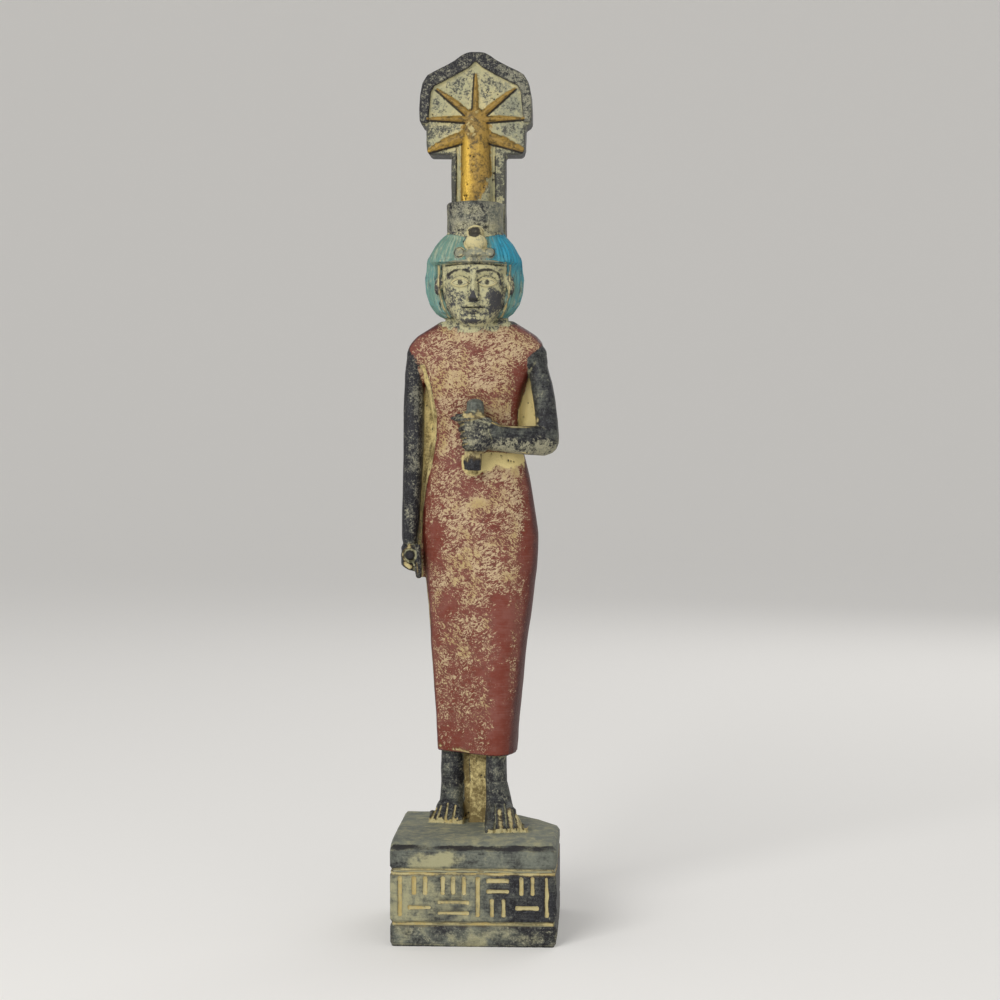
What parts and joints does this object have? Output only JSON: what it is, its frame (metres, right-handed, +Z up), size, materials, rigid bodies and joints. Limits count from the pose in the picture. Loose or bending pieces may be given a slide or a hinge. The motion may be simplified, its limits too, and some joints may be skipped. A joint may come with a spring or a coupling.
{
  "type": "seshat statue",
  "caption": "Hand-carved stone statuette of a striding woman in a sheath dress and wig, with a star emblem on her head, a back pillar and a square plinth.",
  "frame": {"origin": "middle of the plinth's flat underside", "axes": "+Z up along the statue's height, -Y towards the viewer, the way the figure faces, +X to the viewer's right"},
  "size_m": [0.042, 0.046, 0.2292],
  "materials": {
    "painted_stone": null
  },
  "bodies": {
    "root": {"seshat_statue": "painted_stone"}
  },
  "joints": []
}
